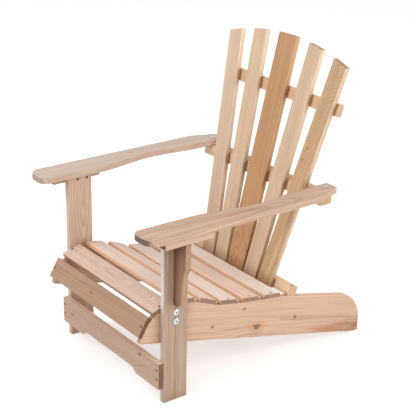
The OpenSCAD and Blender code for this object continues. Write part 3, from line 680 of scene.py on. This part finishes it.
def easeEdges(board):
    board.modifiers.new("join", "WELD").merge_threshold = easing["joinGap"]
    rounding = board.modifiers.new("ease", "BEVEL")
    rounding.width = easing["width"]
    rounding.segments = easing["segments"]
    rounding.limit_method = "WEIGHT"
    rounding.use_clamp_overlap = False
    even = board.modifiers.new("even", "WEIGHTED_NORMAL")
    even.keep_sharp = True


# which metal a fastener is, by the last word of its name; everything else is wood
fasteners = {"bolts": "zinc", "nuts": "zinc", "screws": "bronze"}
woodNames = [name for name in nodes if name.split("_")[-1] not in fasteners]
for name in woodNames:
    board = nodes[name]
    turn, middle = boardFrame(board)
    board.data.materials.clear()
    board.data.materials.append(boardMaterial("wood_" + name, boardLook(name), turn, middle))
    board.data.shade_smooth()
    markEdges(board)
    easeEdges(board)
print("boards:", len(woodNames))


# the metals of the bolts, nuts and screws
metals = {
    "zinc": {"base": tint(214, 222, 230), "cloud": tint(188, 200, 214), "recessShade": tint(58, 64, 74),
             "rough": 0.3},
    "bronze": {"base": tint(140, 100, 74), "cloud": tint(112, 76, 56), "recessShade": tint(44, 28, 22),
               "rough": 0.42},
}
metalShape = {"cloudChanges": 260.0, "cloudDetail": 3.0, "cloudRange": (0.35, 0.65),
              "scratchStretch": (1.0, 1.0, 6.0), "scratchChanges": 1400.0, "scratchDetail": 2.0,
              "scratchRough": 0.3, "pitSize": 0.003, "pitSamples": 8, "pitRange": (0.75, 0.35),
              "pitRough": 0.35, "relief": 0.15, "reliefDepth": 0.0002}


def metalMaterial(name, look):
    made, tree = newMaterial(name)
    shape = metalShape
    where = put(tree, "ShaderNodeTexCoord").outputs["Object"]
    cloud = noise(tree, where, shape["cloudChanges"], shape["cloudDetail"])
    stretched = calcVector(tree, "MULTIPLY", where, shape["scratchStretch"])
    scratch = noise(tree, stretched, shape["scratchChanges"], shape["scratchDetail"])
    colour = blend(tree, ease(tree, cloud, *shape["cloudRange"]), look["base"], look["cloud"])
    openness = put(tree, "ShaderNodeAmbientOcclusion", {"Distance": shape["pitSize"]},
                   samples=shape["pitSamples"]).outputs["AO"]
    recessShade = ease(tree, openness, *shape["pitRange"])  # painted shade: sockets and cross slots darkened by an ambient occlusion mask
    colour = blend(tree, recessShade, colour, look["recessShade"])
    rough = plus(tree, look["rough"], centred(tree, scratch, shape["scratchRough"]))
    rough = plus(tree, rough, times(tree, recessShade, shape["pitRough"]))
    relief = put(tree, "ShaderNodeBump", {"Height": scratch, "Strength": shape["relief"],
                 "Distance": shape["reliefDepth"]})
    shader = put(tree, "ShaderNodeBsdfPrincipled", {"Base Color": colour, "Metallic": 1.0,
                 "Roughness": rough, "Normal": relief.outputs[0]})
    put(tree, "ShaderNodeOutputMaterial", {"Surface": shader.outputs[0]})
    return made


finishes = {name: metalMaterial(name, look) for name, look in metals.items()}
for name, item in nodes.items():
    if name not in woodNames:
        item.data.materials.clear()
        item.data.materials.append(finishes[fasteners[name.split("_")[-1]]])
print("fasteners:", len(nodes) - len(woodNames))

# camera, floor and light; angles in degrees, lens and sensor in millimetres
cameraPlace = {"at": (2.895, -2.193, 1.938), "azimuth": 52.81, "elevation": 22.06, "roll": 1.22,
               "lens": 104.7, "sensor": 36}
lights = {
    "key": {"at": (3.0, -0.4, 3.0), "size": 2.2, "power": 35, "colour": (1.0, 0.98, 0.95)},
    "rim": {"at": (2.3, 3.0, 1.0), "size": 1.6, "power": 32, "colour": (1.0, 0.98, 0.95)},
    "fill": {"at": (-0.8, -3.2, 2.9), "size": 2.5, "power": 58, "colour": (0.97, 0.985, 1.0)},
}
studio = {"target": (0, 0, 0.4), "ambient": 0.64, "floorGlow": 0.44, "floorRadius": 6,
          "floorSides": 96, "floorColour": (0.8, 0.8, 0.8, 1.0), "sky": (1.0, 1.0, 1.0, 1.0)}


def makeCamera(place):
    camera = bpy.data.objects.new("camera", bpy.data.cameras.new("camera"))
    scene.collection.objects.link(camera)
    around = math.radians(place["azimuth"])
    rise = math.radians(place["elevation"])
    roll = math.radians(place["roll"])
    back = Vector((math.sin(around) * math.cos(rise), -math.cos(around) * math.cos(rise), math.sin(rise)))
    right = Vector((math.cos(around), math.sin(around), 0))
    up = back.cross(right)
    rolledRight = right * math.cos(roll) + up * math.sin(roll)
    rolledUp = up * math.cos(roll) - right * math.sin(roll)
    level = Matrix((rolledRight, rolledUp, back)).transposed()
    camera.matrix_world = Matrix.Translation(place["at"]) @ level.to_4x4()
    camera.data.lens = place["lens"]
    camera.data.sensor_width = place["sensor"]
    scene.camera = camera


def makeLight(name, look):
    lamp = bpy.data.lights.new(name, "AREA")
    lamp.shape = "DISK"
    lamp.size = look["size"]
    lamp.energy = look["power"]
    lamp.color = look["colour"]
    made = bpy.data.objects.new(name, lamp)
    made.location = look["at"]
    aim = Vector(studio["target"]) - made.location
    made.rotation_euler = aim.to_track_quat("-Z", "Y").to_euler()
    scene.collection.objects.link(made)


def seenOrMirrored(tree):  # 1 where the camera looks straight at it, in a mirror or through glass
    path = put(tree, "ShaderNodeLightPath").outputs
    seen = calc(tree, "MAXIMUM", path["Is Camera Ray"], path["Is Glossy Ray"])
    return calc(tree, "MAXIMUM", seen, path["Is Transmission Ray"])


def makeFloor():
    bpy.ops.mesh.primitive_circle_add(vertices=studio["floorSides"], radius=studio["floorRadius"],
                                      fill_type="NGON")
    floor = bpy.context.object
    floor.name = "floor"
    material, tree = newMaterial("floor")
    plain = put(tree, "ShaderNodeBsdfDiffuse", {"Color": studio["floorColour"]})
    strength = times(tree, seenOrMirrored(tree), studio["floorGlow"])
    glow = put(tree, "ShaderNodeEmission", {"Strength": strength})
    both = put(tree, "ShaderNodeAddShader", {0: plain.outputs[0], 1: glow.outputs[0]})
    put(tree, "ShaderNodeOutputMaterial", {"Surface": both.outputs[0]})
    floor.data.materials.append(material)


def makeWorld():
    world = bpy.data.worlds.new("studio")
    scene.world = world
    world.use_nodes = True
    tree = world.node_tree
    tree.nodes.clear()
    strength = put(tree, "ShaderNodeMapRange", {"Value": seenOrMirrored(tree),
                   "To Min": studio["ambient"], "To Max": 1.0}).outputs[0]
    sky = put(tree, "ShaderNodeBackground", {"Color": studio["sky"], "Strength": strength})
    put(tree, "ShaderNodeOutputWorld", {"Surface": sky.outputs[0]})


makeCamera(cameraPlace)
makeFloor()
makeWorld()
for name, look in lights.items():
    makeLight(name, look)
scene.view_settings.view_transform = "Standard"
print("studio ready")
